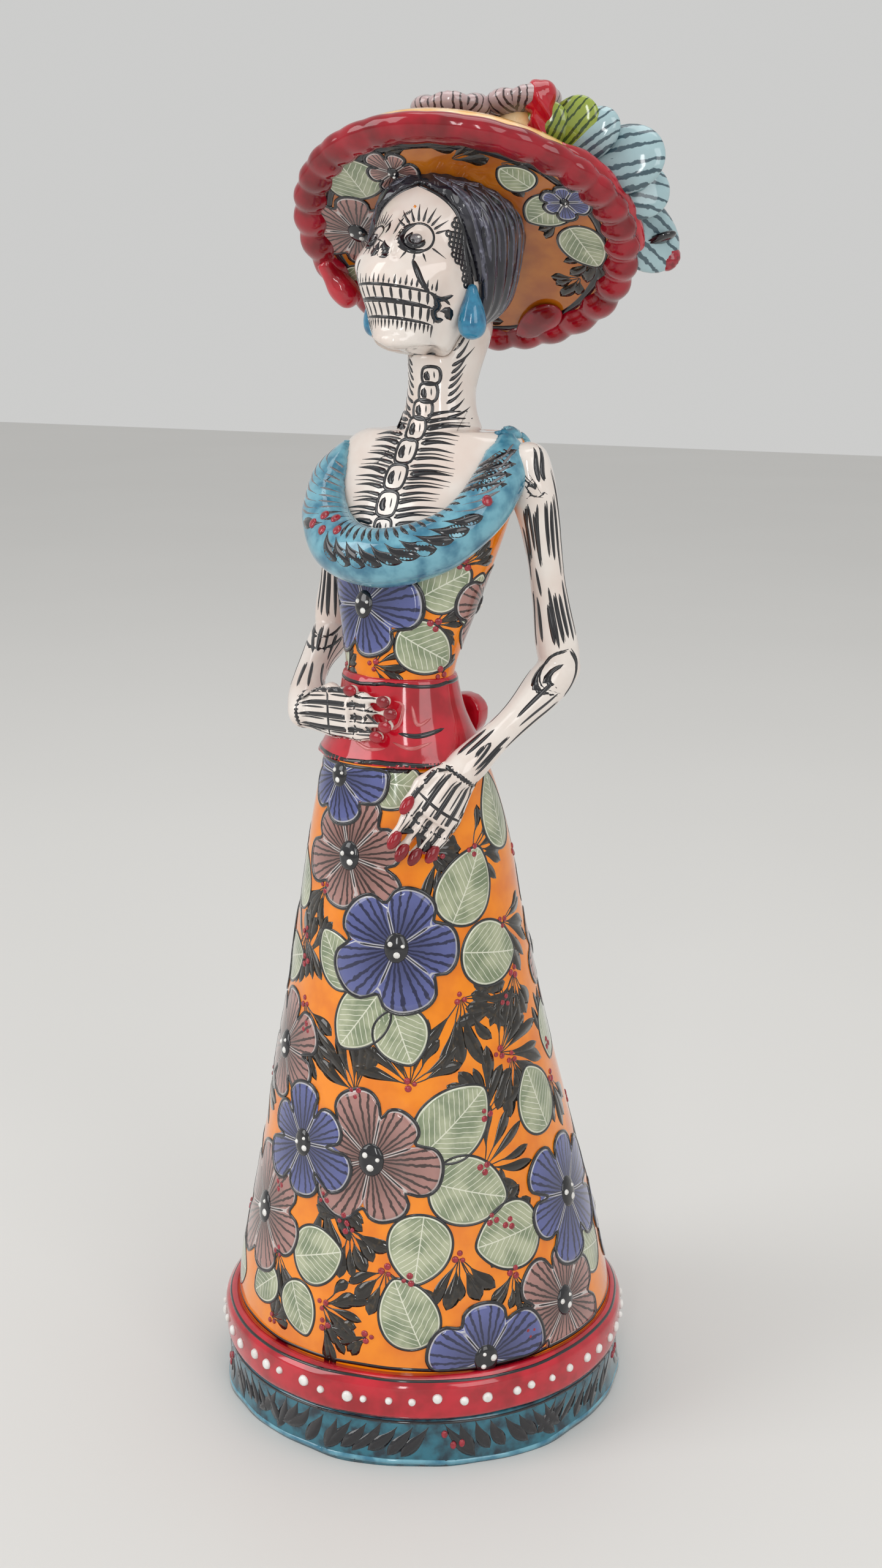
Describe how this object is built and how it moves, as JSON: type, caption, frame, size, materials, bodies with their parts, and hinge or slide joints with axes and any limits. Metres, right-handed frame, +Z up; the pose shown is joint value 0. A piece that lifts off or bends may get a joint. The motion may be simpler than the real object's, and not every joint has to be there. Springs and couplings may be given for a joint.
{
  "type": "catrina figure",
  "caption": "Skeleton lady figurine in a long flowered dress, with a wide tilted hat, flowers and a plume; hollow skirt, stands on its round foot.",
  "frame": {"origin": "centre of the foot ring's underside", "axes": "+Z up, the figure faces -Y, its left hand is on +X"},
  "size_m": [0.1072, 0.1072, 0.3281],
  "materials": {
    "orange_glaze": "glossy glaze with painted flowers, leaves and brush strokes",
    "teal_glaze": "glossy pooled teal glaze with dark brush strokes",
    "red_glaze": "glossy crimson glaze, paler where it runs thin",
    "white_slip": "raised white slip under gloss",
    "black_glaze": "glossy black glaze with grey strand lines",
    "plume_glaze": "glossy pale blue glaze with grey stripes",
    "leaf_glaze": "glossy green glaze with dark strokes",
    "mauve_glaze": "glossy mauve glaze with dark stripes",
    "bone_glaze": "glossy cream glaze with black bone lines"
  },
  "bodies": {
    "root": {"base_flounce": "teal_glaze", "bodice": "orange_glaze", "chest": "bone_glaze", "collar_back": "teal_glaze", "collar_front": "teal_glaze", "earring_left": "teal_glaze", "earring_right": "teal_glaze", "hair_left": "black_glaze", "hair_right": "black_glaze", "hat_brim": "orange_glaze", "hat_bud": "red_glaze", "hat_crown": "orange_glaze", "hat_flower_centres": "white_slip", "hat_flower_front": "mauve_glaze", "hat_flower_side": "mauve_glaze", "hat_leaf": "leaf_glaze", "hat_ribbon": "red_glaze", "hat_rim": "red_glaze", "hat_tail": "red_glaze", "hem_band": "red_glaze", "hem_beads": "white_slip", "left_forearm": "bone_glaze", "left_index_finger": "bone_glaze", "left_little_finger": "bone_glaze", "left_middle_finger": "bone_glaze", "left_nails": "red_glaze", "left_palm": "bone_glaze", "left_ring_finger": "bone_glaze", "left_thumb": "bone_glaze", "left_upper_arm": "bone_glaze", "neck": "bone_glaze", "plume_lower": "plume_glaze", "plume_middle": "plume_glaze", "plume_upper": "plume_glaze", "right_forearm": "bone_glaze", "right_index_finger": "bone_glaze", "right_little_finger": "bone_glaze", "right_middle_finger": "bone_glaze", "right_nails": "red_glaze", "right_palm": "bone_glaze", "right_ring_finger": "bone_glaze", "right_thumb": "bone_glaze", "right_upper_arm": "bone_glaze", "sash": "red_glaze", "sash_knot": "red_glaze", "sash_loop_left": "red_glaze", "sash_loop_right": "red_glaze", "sash_tail_left": "red_glaze", "sash_tail_right": "red_glaze", "skirt": "orange_glaze", "skull": "bone_glaze"}
  },
  "joints": []
}
